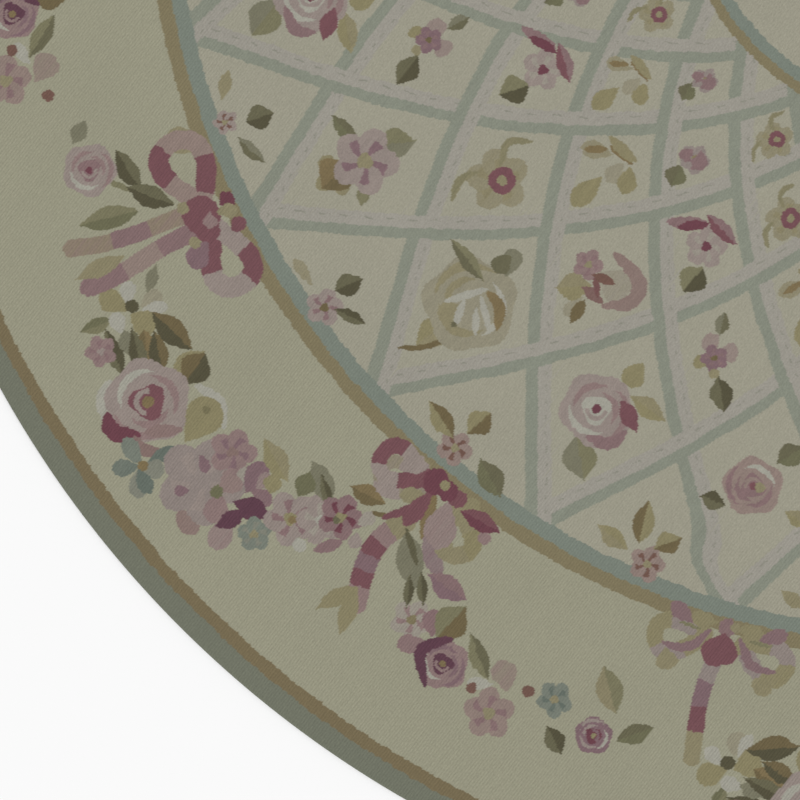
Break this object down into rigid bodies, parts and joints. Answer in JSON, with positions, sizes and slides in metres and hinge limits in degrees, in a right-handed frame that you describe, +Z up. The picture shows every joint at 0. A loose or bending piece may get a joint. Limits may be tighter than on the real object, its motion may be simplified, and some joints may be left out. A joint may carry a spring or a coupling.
{
  "type": "round oriental rug",
  "caption": "Round flat-woven wool rug with a cream ground, a leafy lattice medallion, a garland field with bows and a narrow plain edge, lying flat.",
  "frame": {"origin": "middle of the round underside, on the floor", "axes": "+Z up out of the face, +Y along the ribs of the weave, +X across them"},
  "size_m": [2.44, 2.44, 0.004],
  "materials": {
    "wool": "matt ribbed wool weave with a woven floral pattern"
  },
  "bodies": {
    "root": {"rug": "wool"}
  },
  "joints": []
}
